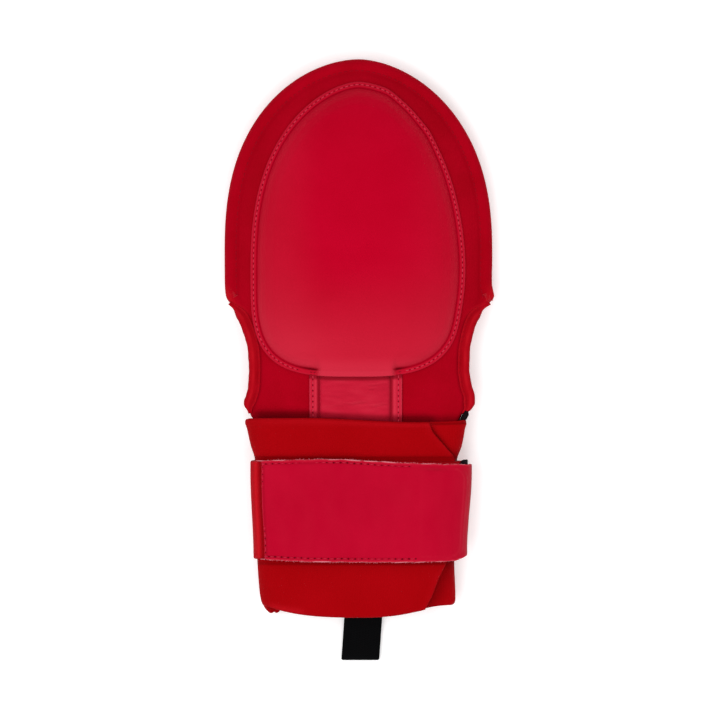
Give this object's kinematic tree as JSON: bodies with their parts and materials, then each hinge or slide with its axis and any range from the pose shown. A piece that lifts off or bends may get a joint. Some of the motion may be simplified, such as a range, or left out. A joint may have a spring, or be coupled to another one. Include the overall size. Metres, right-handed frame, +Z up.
{
  "type": "sliding mitt",
  "caption": "Padded hand guard worn over one hand: domed back pad, thumb hole at each side, lapped knit cuff, wrist strap and pull tab.",
  "frame": {"origin": "middle of the mitt's box, on the flat surface that it lies on", "axes": "+Z up out of the padded back, +Y toward the fingertips, +X to the right as seen from above with the fingertips away"},
  "size_m": [0.139, 0.3098, 0.0367],
  "materials": {
    "shell_fabric": "dark crimson jersey over foam",
    "hem_fabric": "bright red bound edge",
    "pad_leather": "smooth raspberry leather, satin",
    "cuff_knit": "matte red knit",
    "strap_elastic": "bright red elastic",
    "strap_leather": "brushed raspberry leather, soft sheen",
    "black_webbing": "black woven webbing",
    "black_lining": "black lining and hook tape"
  },
  "bodies": {
    "root": {"back_panel": "shell_fabric", "palm_panel": "shell_fabric", "left_thumb_hem": "hem_fabric", "right_thumb_hem": "hem_fabric", "left_palm_hem": "hem_fabric", "right_palm_hem": "hem_fabric", "back_pad": "pad_leather", "bridge_strip": "pad_leather", "cuff": "cuff_knit", "wrist_gusset": "black_lining", "pull_tab": "black_webbing", "strap_band": "strap_elastic", "strap_hook": "black_lining", "strap_face": "strap_leather"}
  },
  "joints": []
}
